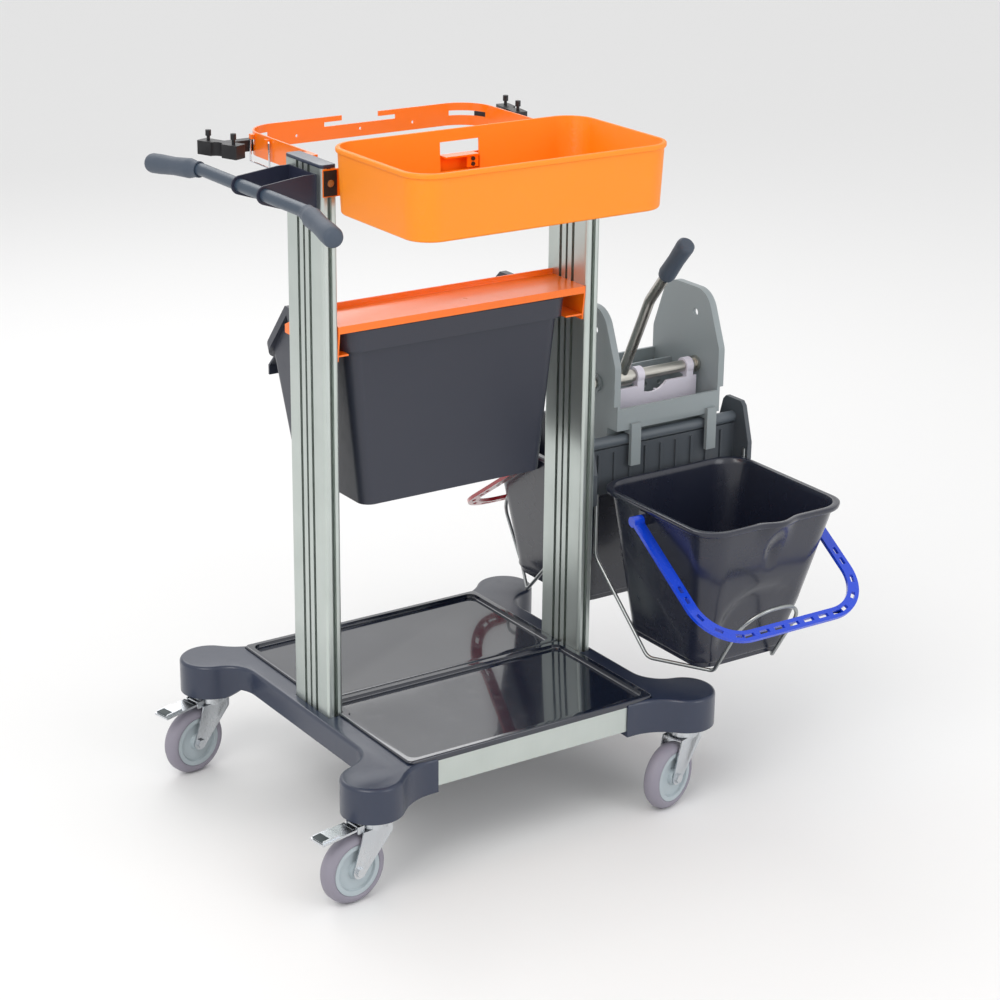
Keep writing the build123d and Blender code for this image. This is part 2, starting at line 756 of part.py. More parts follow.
def tool_holder(side):
    sign = -1 if side == "left" else 1
    block = soft_box(-holder_t / 2, holder_t / 2, -holder_len / 2, holder_len / 2, 0, holder_h, 3.0)
    bore_x = sign * (holder_t / 2 + 3)
    block -= upright(bore_x, 0, -1, holder_h + 1, 2 * holder_bore)
    block = holder_place(side) * block
    z0 = bag_z0 + 6
    arm_x0, arm_x1 = sorted((sign * (bag_x - bag_r), sign * holder_x))
    arm = span_box(arm_x0, arm_x1, clip_y1 + 5, clip_y1 + 23, z0, z0 + holder_h - 4)
    band_zone = RectangleRounded(2 * bag_x, 2 * bag_y, bag_r)
    arm -= Pos(0, 0, bag_z0) * extrude(band_zone, holder_h + 10)
    holder = block + arm
    for peg in side_pegs(side):
        holder -= peg
    return holder


def holder_pegs():
    return side_pegs("left") + side_pegs("right")


def build_bag_holder():
    save("bag_frame", bag_frame())
    clip = bag_clip()
    save("bag_clip_left", clip)
    save("bag_clip_right", across_x(clip))
    for side in ("left", "right"):
        save(f"tool_holder_{side}", tool_holder(side))
    save("holder_pegs", *holder_pegs())


# ---------- storage bin ----------
bin_slope = ((150.0, bin_z1), (300.0, bin_z1 - 155.0))


def bin_solid(extra, floor):
    low_half = bin_bottom_half + extra
    high_half = bin_top_half + extra
    low = (bin_c - low_half, bin_c + low_half, bin_y0 + 8 - extra, bin_bottom_y1 + extra)
    high = (bin_c - high_half, bin_c + high_half, bin_y0 - extra, bin_top_y1 + extra)
    return frustum(low, high, bin_z0 + floor, bin_z1 + (1 if floor else 0), bin_corner - 4.0 + extra, bin_corner + extra)


def bin_half_at(z):
    """Half the bin's width at a height, on its tapered wall."""
    share = (z - bin_z0) / (bin_z1 - bin_z0)
    return bin_bottom_half + (bin_top_half - bin_bottom_half) * share


def storage_bin():
    body = bin_solid(0, 0)
    (y_a, z_a), (y_b, z_b) = bin_slope
    drop = bin_band
    zone = [(-200, z_a), (y_a, z_a), (y_b, z_b), (y_b, z_b - 16), (y_a - 2, z_a - 16),
            (y_a - 8, z_a - drop), (-200, z_a - drop)]
    flange = bin_rim_half - bin_top_half
    band = bin_solid(flange, 0) & side_plate(zone, -400, 400)
    shell = body + band
    shell -= bin_solid(-bin_wall, bin_wall)
    above = [(y_a, z_a), (y_a, z_a + 60), (y_b + 60, z_a + 60), (y_b + 60, z_b - 60)]
    shell -= side_plate(above, -400, 400)
    lip_y = bin_lip_y
    lip_z = z_a - (lip_y - y_a) * (z_a - z_b) / (y_b - y_a)
    half = bin_top_half - bin_corner - 8.0
    lip = [(lip_y, lip_z), (y_b - 4, z_b + 4), (y_b - 4, z_b - 14), (y_b - 8, z_b - 14),
           (y_b - 8, z_b + 3), (lip_y, lip_z - 5)]
    return shell + side_plate(lip, bin_c - half, bin_c + half)


def bin_bracket():
    x0 = post_span("left")[1]
    x1 = post_span("right")[0]
    t = shelf_t
    shelf = span_box(x0, x1, shelf_y0, shelf_y1, shelf_z - t, shelf_z)
    shelf += span_box(x0, x1, shelf_y1 - t, shelf_y1, shelf_z - t, shelf_z + 10)
    shelf += span_box(x0, x1, shelf_y0, shelf_y0 + t, shelf_z - 13, shelf_z)
    ledge_z = bin_z1 - bin_band - slip
    inner = bin_half_at(bin_z1 - bin_band) + ledge_gap
    for face, way, ledge in ((x0, 1, bin_c - inner), (x1, -1, bin_c + inner)):
        a, b = sorted((face, face + way * t))
        arm = [(shelf_y0, shelf_z), (shelf_y1, shelf_z), (ledge_y1, ledge_z + 12), (ledge_y1, ledge_z - t),
               (shelf_y0 + 14, ledge_z - t - 8), (shelf_y0 + 6, ledge_z - t - 8), (shelf_y0, shelf_z - 14)]
        shelf += side_plate(arm, a, b)
        a, b = sorted((face, ledge))
        shelf += span_box(a, b, shelf_y0 + 6, ledge_y1, ledge_z - t, ledge_z)
        for y in (-slot_step, slot_step):
            hole_z = shelf_z - 22
            shelf -= rod((face - 5, y, hole_z), (face + 5, y, hole_z), 6.4)
    return shelf


def steel_screws():
    screws = handle_screws()
    t = shelf_t
    for face, way in ((post_span("left")[1], 1), (post_span("right")[0], -1)):
        for y in (-slot_step, slot_step):
            z = shelf_z - 22
            screws.append(screw_x(face + way * t, y, z, 11.0, 6.4, way))
    for side in ("left", "right"):
        face = rail_face_y() - 5.0
        x = post_mid(side)
        screw = rod((x, face, strip_mid), (x, face - 0.8, strip_mid), 12.0)
        screws.append(screw + rod((x, face, strip_mid), (x, face + 9, strip_mid), 6.4))
    return screws


def build_bin():
    save("storage_bin", storage_bin())
    save("bin_bracket", bin_bracket())
    save("steel_screws", *steel_screws())


# ---------- buckets ----------
def bucket_shape(extra, floor):
    low = (bucket_foot_c - bucket_foot_half, bucket_foot_c + bucket_foot_half,
           -bucket_foot_y_out, -bucket_foot_y_in)
    rim = 8.0
    high = (bucket_c - bucket_half + rim, bucket_c + bucket_half - rim,
            -bucket_y_out + rim, -bucket_y_in - rim)
    top = bucket_z1 + (1 if floor else 0)
    return frustum(grown(low, extra), grown(high, extra), bucket_z0 + floor, top, 30.0 + extra, 42.0 + extra)


def bucket():
    """The front bucket; the rear one is its mirror."""
    body = bucket_shape(0, 0)
    x0 = bucket_c - bucket_half
    x1 = bucket_c + bucket_half
    rim = soft_box(x0, x1, -bucket_y_out, -bucket_y_in, bucket_z1 - 10, bucket_z1, 50.0)
    rim = fillet(rim.edges().filter_by(Plane.XY), 3.0)
    body += rim
    body -= bucket_shape(-bucket_wall, bucket_wall)
    inside = bucket_shape(-bucket_wall, bucket_wall)
    for way in (-1, 1):
        ear = rod((bucket_c + way * 150, -bail_y, bail_z), (bucket_c + way * ear_tip, -bail_y, bail_z), ear_d)
        web_x0, web_x1 = sorted((bucket_c + way * 150, bucket_c + way * (bucket_half + 0.8)))
        web = span_box(web_x0, web_x1, -bail_y - 9, -bail_y + 9, bail_z - 9, bucket_z1 - 8)
        body += ear + web - inside
    return body


def bail_turn(lean):
    return Pos(0, -bail_y, bail_z) * Rot(-lean, 0, 0)


def bucket_bail():
    """A flat strap cut as a U, drawn hanging straight down from its pivots and then leaned."""
    inner = bucket_half + 1.5
    outer = inner + bail_w
    low = -bail_reach - bail_w / 2
    sheet = Pos(0, low + 300) * RectangleRounded(2 * outer, 600, bail_bend)
    sheet -= Pos(0, low + bail_w + 300) * RectangleRounded(2 * inner, 600, bail_bend - bail_w)
    sheet &= Pos(0, low / 2) * Rectangle(2 * outer, -low)
    for k in range(-3, 4):
        sheet -= Pos(k * 34.0, -bail_reach) * Rectangle(22.0, 7.0)
    for sign in (-1, 1):
        mid_r = bail_bend - bail_w / 2
        for turn in (18, 45, 72):
            x = sign * (outer - bail_bend + mid_r * sin(radians(turn)))
            y = low + bail_bend - mid_r * cos(radians(turn))
            sheet -= Pos(x, y) * Rot(0, 0, sign * turn) * Rectangle(16.0, 7.0)
        for k in range(2):
            sheet -= Pos(sign * (outer - bail_w / 2), low + bail_bend + 14 + 24 * k) * Rectangle(7.0, 15.0)
    strap = Pos(0, 0, -bail_t / 2) * extrude(sheet, bail_t)
    for sign in (-1, 1):
        strap += rod((sign * inner, 0, 0), (sign * outer, 0, 0), 20.0)
        strap -= rod((sign * (inner - 1), 0, 0), (sign * (ear_tip + slip), 0, 0), ear_d + 2 * running)
    return Pos(bucket_c, 0, 0) * bail_turn(bail_lean) * Rot(90, 0, 0) * strap


def build_buckets():
    front = bucket()
    save("bucket_front", front)
    save("bucket_rear", across_y(front))
    bail = bucket_bail()
    save("bucket_bail_front", bail)
    save("bucket_bail_rear", across_y(bail))


# ---------- bucket carrier, holder and cradle ----------
def bucket_carrier():
    face = post_span("right")[1]
    top = tube_z + 40.0
    low = tube_z - 205.0
    plate = span_box(face, face + 4, -50, 50, low, top)
    x1 = plate_x["left"]
    for y in (-50, 46):
        arm = end_plate([(face, top), (x1, top), (x1, low), (face + 2, low)], y, y + 4)
        plate += arm
    for z in (tube_z - 100.0, tube_z):
        for y in (-slot_step, slot_step):
            plate -= rod((face - 1, y, z), (face + 5, y, z), 6.4)
    return plate


def holder_plate_points():
    low = tube_z - 100.0
    side = tube_z - 40.0
    top = tube_z + 36.0
    return [(-50, low), (50, low), (50, side), (30, top - 8), (22, top), (-22, top), (-30, top - 8), (-50, side)]


def press_holder():
    panel_y = 6.0
    x0 = plate_x["left"]
    x1 = plate_x["right"]
    top = tube_z - tube_d / 2 - slip
    low = tube_z - 100.0
    holder = span_box(x0 + plate_t, x1, -panel_y, panel_y, low, top)
    holder += side_plate(holder_plate_points(), x0, x0 + plate_t)
    holder += side_plate(holder_plate_points(), x1, x1 + plate_t)
    for k in range(9):
        x = x0 + plate_t + 30 + k * 36
        holder += span_box(x, x + 5, -panel_y - 4, panel_y + 4, low, top - 8)
    holder -= rod((x0 - 1, 0, tube_z), (x1 + plate_t + 1, 0, tube_z), tube_d)
    return holder


def holder_tube():
    x0 = plate_x["left"]
    x1 = plate_x["right"] + plate_t
    tube = rod((x0, 0, tube_z), (x1, 0, tube_z), tube_d)
    return tube - rod((x0 - 1, 0, tube_z), (x1 + 1, 0, tube_z), tube_d - 4)


def wire_cradle():
    """The front wire: from the carrier, under the bucket, up a leaning hoop and back to the far plate."""
    z = bucket_z0 - 0.5 - cradle_wire / 2
    out = arch_len * sin(radians(arch_lean))
    up = arch_len * cos(radians(arch_lean))
    left = arch_c - arch_half
    right = arch_c + arch_half
    near_x = plate_x["left"] + plate_t + cradle_wire / 2
    far_x = plate_x["right"] - cradle_wire / 2 - 0.2
    points = [(near_x, -43, tube_z - 80), (near_x, -43, tube_z - 200), (near_x + 13, -196, z), (left, -arch_y, z),
              (left, -arch_y - out, z + up), (right, -arch_y - out, z + up), (right, -arch_y, z),
              (far_x - 40, -196, z), (far_x, -43, tube_z - 100), (far_x, -43, tube_z - 52)]
    radii = [30, 24, 14, 60, 60, 14, 24, 30]
    return bent_rod(points, radii, cradle_wire)


def build_bucket_end():
    save("bucket_carrier", bucket_carrier())
    save("press_holder", press_holder())
    save("holder_tube", holder_tube())
    cradle = wire_cradle()
    save("wire_cradle_front", cradle)
    save("wire_cradle_rear", across_y(cradle))


# ---------- press ----------
def cheek_face(inset):
    """A cheek's outline in (y, z), rounded at the shoulders and the crown."""
    low = press_z0
    points = [(press_back, low), (press_y1, low), (press_y1, shoulder_z), (press_y1 - 40, cheek_top),
              (press_back + 10, cheek_top), (press_y0, shoulder_z), (press_y0, hook_top + 2),
              (press_back, hook_top - 6)]
    face = make_face(Polyline(points, close=True))
    crown = face.vertices().filter_by(lambda v: v.Y > shoulder_z + 50)
    face = fillet(crown, 48.0)
    shoulder = face.vertices().filter_by(lambda v: abs(v.Y - shoulder_z) < 0.1)
    face = fillet(shoulder, 30.0)
    return offset(face, amount=-inset) if inset else face


def cheek(x0, way):
    """A cheek with its stiffening flange, standing outwards from the plate; way is +1 or -1."""
    place = Plane(origin=(x0, 0, 0), x_dir=(0, 1, 0), z_dir=(1, 0, 0))
    plate = place * extrude(cheek_face(0), press_wall)
    rim = extrude(cheek_face(0) - cheek_face(cheek_flange), cheek_deep)
    shift = 0 if way > 0 else press_wall - cheek_deep
    rim = Pos(shift, 0, 0) * (place * rim)
    return plate + (rim - span_box(press_x0 - 99, press_x1 + 99, -99, 400, press_z0 - 90, press_z0 + 80))


def press_body():
    x0 = press_x0
    x1 = press_x1
    wall = press_wall
    body = cheek(x0, -1) + cheek(x1 - wall, 1)
    body += span_box(x0, x1, press_y1 - wall, press_y1, press_z0, press_z0 + 110)
    body += span_box(x0, x1, press_back, press_y1, press_z0, press_z0 + wall)
    body += span_box(x0, x1, press_back, press_back + wall, press_z0, hook_top)
    body += span_box(x0, x1, press_y0, press_y0 + wall, hook_top - 4, hook_top + 36)
    body += span_box(x0, x1, press_y0, press_back + wall, hook_top - 6, hook_top)
    for hook in (press_x0 + 40, press_x1 - 22):
        body += span_box(hook - 11, hook + 11, press_y0 - 7, press_y0 + 1, tube_z - 48, hook_top + 6)
        body += span_box(hook - 11, hook + 11, press_y0 - 7, press_back + 4, hook_rest, hook_top)
    body += span_box(x0, x1, screen_y, screen_y + 4, press_z0, press_z0 + 104)
    for column in range(6):
        x = x0 + 34 + column * (x1 - x0 - 68) / 5
        for y in (60, 90, 150):
            body -= upright(x, y, press_z0 - 1, press_z0 + wall + 1, 9.0)
        for z in (press_z0 + 28, press_z0 + 58, press_z0 + 88):
            body -= rod((x, screen_y - 1, z), (x, screen_y + 5, z), 10.0)
    for x in (x0, x1 - wall):
        boss_x0, boss_x1 = (x - 4, x + wall) if x == x0 else (x, x + wall + 4)
        body += rod((boss_x0, shaft_y, shaft_z), (boss_x1, shaft_y, shaft_z), 34.0)
    body -= rod((x0 - 9, shaft_y, shaft_z), (x1 + 9, shaft_y, shaft_z), shaft_d + 2 * running)
    for x in (x0, x1 - wall):
        body -= rod((x - 2, shaft_y + 6, shaft_z + 100), (x + wall + 2, shaft_y + 6, shaft_z + 100), 14.0)
    return body


def press_shaft():
    shaft = rod((press_x0 - 8, shaft_y, shaft_z), (press_x1 + 8, shaft_y, shaft_z), shaft_d)
    collar_x = press_x1 - press_wall - 1.0
    shaft += rod((collar_x - 5, shaft_y, shaft_z), (collar_x, shaft_y, shaft_z), 32.0)
    collar_x = press_x0 + press_wall + 1.0
    shaft += rod((collar_x, shaft_y, shaft_z), (collar_x + 5, shaft_y, shaft_z), 32.0)
    return shaft


def lever_points():
    return [(lever_x, shaft_y, shaft_z), (lever_x, *lever_bend), (lever_x, *lever_top)]


def press_lever():
    tube = bent_rod(lever_points(), 60.0, 20.0)
    tube += rod((lever_x - 16, shaft_y, shaft_z), (lever_x + 16, shaft_y, shaft_z), 34.0)
    return tube - rod((lever_x - 30, shaft_y, shaft_z), (lever_x + 30, shaft_y, shaft_z), shaft_d)


def press_grip():
    top = Vector(*lever_points()[2])
    bend = Vector(*lever_points()[1])
    way = (top - bend).normalized()
    start = top - way * (lever_grip_len - 5.0)
    length = lever_grip_len
    r = grip_d / 2
    outline = [(0, length), (r - 5, length), (r - 1, length - 4), (r, length - 10), (r - 1.5, length / 2),
               (r - 0.5, 10), (r - 3, 0), (10.0, 0), (10.0, length - 5), (0, length - 5)]
    face = make_face(Polyline([(a, b) for a, b in outline], close=True))
    turned = Rot(90, 0, 0) * revolve(face, axis=Axis.Y)
    return Plane(origin=start, z_dir=way) * turned


def press_plate():
    """The hanging plate, clamped to the shaft by two straps and stiffened by ribs."""
    x0 = press_x0 + press_wall + 8
    x1 = press_x1 - press_wall - 8
    y0 = shaft_y - 14
    low = shaft_z - 92
    plate = span_box(x0, x1, y0, y0 + 6, low, shaft_z - 18)
    scoop = rod(((x0 + x1) / 2, y0 - 1, shaft_z + 10), ((x0 + x1) / 2, y0 + 7, shaft_z + 10), 90.0)
    plate -= scoop
    for k in range(6):
        x = x0 + 12 + k * (x1 - x0 - 30) / 5
        plate += span_box(x, x + 5, y0 + 5, y0 + 16, low + 4, shaft_z - 34)
    for x in (x0 + 72, x1 - 24):
        strap = span_box(x, x + 16, y0, y0 + 12, shaft_z - 30, shaft_z)
        strap += rod((x, shaft_y, shaft_z), (x + 16, shaft_y, shaft_z), 32.0)
        plate += strap
    return plate - rod((x0 - 9, shaft_y, shaft_z), (x1 + 9, shaft_y, shaft_z), shaft_d)


def build_press():
    save("press_body", press_body())
    save("press_shaft", press_shaft())
    save("press_lever", press_lever())
    save("press_grip", press_grip() - press_lever())
    save("press_plate", press_plate())


build_casters()
build_chassis()
build_handle()
build_tray()
build_bag_holder()
build_bin()
build_buckets()
build_bucket_end()
build_press()
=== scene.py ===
import json
import math

import bmesh
import bpy
from mathutils import Matrix, Vector

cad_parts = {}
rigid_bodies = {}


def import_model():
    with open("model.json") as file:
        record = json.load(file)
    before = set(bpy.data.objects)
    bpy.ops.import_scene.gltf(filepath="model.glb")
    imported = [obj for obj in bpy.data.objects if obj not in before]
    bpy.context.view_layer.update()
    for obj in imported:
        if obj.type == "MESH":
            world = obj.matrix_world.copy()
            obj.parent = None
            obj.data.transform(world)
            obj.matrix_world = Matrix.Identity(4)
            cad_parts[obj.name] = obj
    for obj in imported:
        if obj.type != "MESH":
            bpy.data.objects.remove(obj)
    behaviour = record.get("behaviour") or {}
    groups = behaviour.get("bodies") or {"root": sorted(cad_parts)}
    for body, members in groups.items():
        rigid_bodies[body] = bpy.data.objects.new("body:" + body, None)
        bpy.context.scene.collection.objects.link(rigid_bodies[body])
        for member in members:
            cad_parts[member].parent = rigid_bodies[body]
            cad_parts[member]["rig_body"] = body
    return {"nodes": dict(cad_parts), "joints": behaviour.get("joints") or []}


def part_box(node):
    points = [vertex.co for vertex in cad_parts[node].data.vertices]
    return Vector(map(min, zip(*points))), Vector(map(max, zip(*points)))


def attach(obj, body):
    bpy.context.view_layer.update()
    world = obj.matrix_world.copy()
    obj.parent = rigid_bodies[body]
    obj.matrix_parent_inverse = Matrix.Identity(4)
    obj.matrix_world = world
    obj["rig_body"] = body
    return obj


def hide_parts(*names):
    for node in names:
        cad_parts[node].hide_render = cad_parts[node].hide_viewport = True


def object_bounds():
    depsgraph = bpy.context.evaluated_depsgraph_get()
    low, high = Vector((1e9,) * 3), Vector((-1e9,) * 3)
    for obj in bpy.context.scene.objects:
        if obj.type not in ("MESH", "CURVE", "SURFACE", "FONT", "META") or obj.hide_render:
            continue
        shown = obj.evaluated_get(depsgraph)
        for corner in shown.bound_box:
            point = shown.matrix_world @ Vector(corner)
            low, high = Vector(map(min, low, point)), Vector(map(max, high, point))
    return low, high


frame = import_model()
cad_box = [list(corner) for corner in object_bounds()]

# ---------- studio ----------
# A pale sweep of floor, three large soft lamps and an even pale surround.
# The camera looks down on the cart from beyond its left front corner.
azimuth = math.radians(-33.9)
elevation = math.radians(20.07)
roll = math.radians(0.66)
back = Vector((math.sin(azimuth) * math.cos(elevation), -math.cos(azimuth) * math.cos(elevation),
               math.sin(elevation)))
level = Vector((math.cos(azimuth), math.sin(azimuth), 0))
upward = back.cross(level)
right = math.cos(roll) * level + math.sin(roll) * upward
over = math.cos(roll) * upward - math.sin(roll) * level

lens = bpy.data.cameras.new("camera")
lens.lens = 88.41
lens.sensor_width = 36.0
lens.clip_end = 60.0
camera = bpy.data.objects.new("camera", lens)
camera.matrix_world = Matrix.Translation((-2.21657, -3.47555, 2.06144)) @ Matrix(
    (right, over, back)).transposed().to_4x4()
bpy.context.scene.collection.objects.link(camera)
bpy.context.scene.camera = camera

world = bpy.data.worlds.new("surround")
world.use_nodes = True
world.node_tree.nodes["Background"].inputs["Color"].default_value = (1.0, 1.0, 1.0, 1)
world.node_tree.nodes["Background"].inputs["Strength"].default_value = 0.88
bpy.context.scene.world = world
bpy.context.scene.view_settings.view_transform = "Standard"

middle = (Vector(cad_box[0]) + Vector(cad_box[1])) / 2


def lamp(name, place, size, power, colour):
    light = bpy.data.lights.new(name, "AREA")
    light.shape = "RECTANGLE"
    light.size, light.size_y = size
    light.energy = power
    light.color = colour
    stand = bpy.data.objects.new(name, light)
    stand.location = place
    stand.rotation_euler = (middle - Vector(place)).to_track_quat("-Z", "Y").to_euler()
    bpy.context.scene.collection.objects.link(stand)


lamp("key_light", (-2.6, -1.6, 3.6), (2.4, 2.0), 58, (1.0, 0.98, 0.95))
lamp("front_light", (1.6, -4.2, 2.2), (2.2, 2.4), 34, (0.97, 0.98, 1.0))
lamp("rear_light", (0.8, 3.2, 3.0), (3.0, 1.6), 34, (1.0, 1.0, 1.0))


# ---------- studio floor ----------
# A plain pale sheet far wider than the cart. It has the same kind of skin as the moulded pieces:
# a colour that drifts a little, a roughness with rubbed patches, and a fine relief.
def sockets(group, inputs):
    for name, value in inputs.items():
        kind = "NodeSocketColor" if isinstance(value, tuple) else "NodeSocketFloat"
        group.interface.new_socket(name, in_out="INPUT", socket_type=kind).default_value = value
    for name, kind in (("Colour", "NodeSocketColor"), ("Roughness", "NodeSocketFloat"),
                       ("Normal", "NodeSocketVector")):
        group.interface.new_socket(name, in_out="OUTPUT", socket_type=kind)
    return group.nodes.new("NodeGroupInput"), group.nodes.new("NodeGroupOutput")


def noise(group, vector, scale, detail):
    node = group.nodes.new("ShaderNodeTexNoise")
    node.inputs["Detail"].default_value = detail
    group.links.new(vector, node.inputs["Vector"])
    if isinstance(scale, (int, float)):
        node.inputs["Scale"].default_value = scale
    else:
        group.links.new(scale, node.inputs["Scale"])
    return node.outputs["Fac"]


def sums(group, kind, first, second):
    node = group.nodes.new("ShaderNodeMath")
    node.operation = kind
    for socket, value in zip(node.inputs, (first, second)):
        if isinstance(value, (int, float)):
            socket.default_value = value
        else:
            group.links.new(value, socket)
    return node.outputs[0]


def blended(group, factor, first, second):
    node = group.nodes.new("ShaderNodeMix")
    node.data_type = "RGBA"
    group.links.new(factor, node.inputs["Factor"])
    group.links.new(first, node.inputs["A"])
    group.links.new(second, node.inputs["B"])
    return node.outputs["Result"]


def relief(group, height, strength, depth):
    node = group.nodes.new("ShaderNodeBump")
    node.inputs["Distance"].default_value = depth
    group.links.new(strength, node.inputs["Strength"])
    group.links.new(height, node.inputs["Height"])
    return node.outputs["Normal"]


def skin_effect():
    """A moulded or sprayed skin: grain, faint flow marks, rubbed patches and settled dust."""
    group = bpy.data.node_groups.new("moulded_skin", "ShaderNodeTree")
    start, end = sockets(group, {"Colour": (0.5, 0.5, 0.5, 1), "Worn Colour": (0.6, 0.6, 0.6, 1),
                                 "Roughness": 0.45, "Grain": 900.0, "Grain Height": 0.3, "Dust": 0.15})
    place = group.nodes.new("ShaderNodeTexCoord").outputs["Object"]
    drift = noise(group, place, 7.0, 3.0)
    scuffs = noise(group, place, 38.0, 8.0)
    scuffs = sums(group, "MULTIPLY", sums(group, "MAXIMUM", sums(group, "SUBTRACT", scuffs, 0.55), 0.0), 2.0)
    facing = group.nodes.new("ShaderNodeSeparateXYZ")
    group.links.new(group.nodes.new("ShaderNodeNewGeometry").outputs["Normal"], facing.inputs[0])
    upper = sums(group, "MAXIMUM", facing.outputs["Z"], 0.0)
    dust = sums(group, "MULTIPLY", sums(group, "MULTIPLY", upper, start.outputs["Dust"]), drift)
    worn = sums(group, "MINIMUM", sums(group, "ADD", sums(group, "MULTIPLY", scuffs, 0.35), dust), 1.0)
    colour = blended(group, worn, start.outputs["Colour"], start.outputs["Worn Colour"])
    group.links.new(colour, end.inputs["Colour"])
    rubbed = sums(group, "MULTIPLY", sums(group, "ADD", scuffs, drift), 0.16)
    rough = sums(group, "ADD", start.outputs["Roughness"], sums(group, "SUBTRACT", rubbed, 0.08))
    group.links.new(sums(group, "ADD", rough, sums(group, "MULTIPLY", dust, 0.5)), end.inputs["Roughness"])
    grain = noise(group, place, start.outputs["Grain"], 2.0)
    normal = relief(group, grain, start.outputs["Grain Height"], 0.0006)
    group.links.new(normal, end.inputs["Normal"])
    return group


skin = skin_effect()


def finish(name, effect, settings, shader):
    material = bpy.data.materials.new(name)
    material.use_nodes = True
    tree = material.node_tree
    principled = tree.nodes["Principled BSDF"]
    node = tree.nodes.new("ShaderNodeGroup")
    node.node_tree = effect
    for socket, value in settings.items():
        node.inputs[socket].default_value = value
    for source, target in (("Colour", "Base Color"), ("Roughness", "Roughness"), ("Normal", "Normal")):
        tree.links.new(node.outputs[source], principled.inputs[target])
    for socket, value in shader.items():
        principled.inputs[socket].default_value = value
    return material


def plastic(name, colour, worn, rough, grain=900.0, height=0.25, dust=0.12, coat=0.0, coat_rough=0.05):
    settings = {"Colour": (*colour, 1), "Worn Colour": (*worn, 1), "Roughness": rough, "Grain": grain,
                "Grain Height": height, "Dust": dust}
    return finish(name, skin, settings, {"Coat Weight": coat, "Coat Roughness": coat_rough})


floor_finish = plastic("studio_floor", (0.86, 0.86, 0.86), (0.84, 0.84, 0.84), 0.7, 40.0, 0.02, 0.0)
sheet = bmesh.new()
bmesh.ops.create_grid(sheet, x_segments=2, y_segments=2, size=12.0)
floor_mesh = bpy.data.meshes.new("studio_floor")
sheet.to_mesh(floor_mesh)
sheet.free()
floor_mesh.materials.append(floor_finish)
floor = bpy.data.objects.new("studio_floor", floor_mesh)
bpy.context.scene.collection.objects.link(floor)


# ---------- casters ----------
# Pressed forks in bright zinc plate swivel under bolted heads, each with a moulded grey wheel:
# a hard hub and a softer non-marking tyre. The two at the handle end carry a foot brake.
def metal_effect():
    """Drawn or plated metal: long fine lines along the axis with the smallest stretch."""
    group = bpy.data.node_groups.new("drawn_metal", "ShaderNodeTree")
    start, end = sockets(group, {"Colour": (0.7, 0.7, 0.7, 1), "Dull Colour": (0.5, 0.5, 0.5, 1),
                                 "Roughness": 0.3, "Across": 600.0, "Along": 6.0, "Line Height": 0.25})
    place = group.nodes.new("ShaderNodeTexCoord").outputs["Object"]
    split = group.nodes.new("ShaderNodeSeparateXYZ")
    group.links.new(place, split.inputs[0])
    join = group.nodes.new("ShaderNodeCombineXYZ")
    for axis, stretch in (("X", "Across"), ("Y", "Across"), ("Z", "Along")):
        group.links.new(sums(group, "MULTIPLY", split.outputs[axis], start.outputs[stretch]),
                        join.inputs[axis])
    lines = noise(group, join.outputs[0], 1.0, 3.0)
    cloud = noise(group, place, 14.0, 5.0)
    group.links.new(blended(group, cloud, start.outputs["Colour"], start.outputs["Dull Colour"]),
                    end.inputs["Colour"])
    mix = sums(group, "MULTIPLY", sums(group, "ADD", lines, cloud), 0.14)
    group.links.new(sums(group, "ADD", start.outputs["Roughness"], sums(group, "SUBTRACT", mix, 0.10)),
                    end.inputs["Roughness"])
    group.links.new(relief(group, lines, start.outputs["Line Height"], 0.0003), end.inputs["Normal"])
    return group


drawn = metal_effect()


def metal(name, colour, dull, rough, across=600.0, along=6.0, height=0.2):
    settings = {"Colour": (*colour, 1), "Dull Colour": (*dull, 1), "Roughness": rough,
                "Across": across, "Along": along, "Line Height": height}
    return finish(name, drawn, settings, {"Metallic": 1.0})


def body_of(node):
    return frame["nodes"][node]["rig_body"]


def paint(node, material):
    piece = frame["nodes"][node]
    piece.data.materials.clear()
    piece.data.materials.append(material)


def placed(name, shape, material, node, smooth=35.0):
    """Turns a bmesh into a finished piece that stands for a node and rides on its body."""
    mesh = bpy.data.meshes.new(name)
    shape.to_mesh(mesh)
    shape.free()
    mesh.materials.append(material)
    mesh.polygons.foreach_set("use_smooth", [True] * len(mesh.polygons))
    mesh.set_sharp_from_angle(angle=math.radians(smooth))
    piece = bpy.data.objects.new(name, mesh)
    bpy.context.scene.collection.objects.link(piece)
    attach(piece, body_of(node))
    return piece


def rounded(node, width, material, segments=2):
    shape = bmesh.new()
    shape.from_mesh(frame["nodes"][node].data)
    bmesh.ops.remove_doubles(shape, verts=shape.verts, dist=1e-5)
    bmesh.ops.dissolve_limit(shape, angle_limit=math.radians(0.5), verts=shape.verts, edges=shape.edges)
    piece = placed(node + "_finished", shape, material, node)
    arris = piece.modifiers.new("arris", "BEVEL")
    arris.width = width
    arris.segments = segments
    arris.limit_method = "ANGLE"
    arris.angle_limit = math.radians(38)
    arris.harden_normals = True
    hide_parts(node)
    return piece


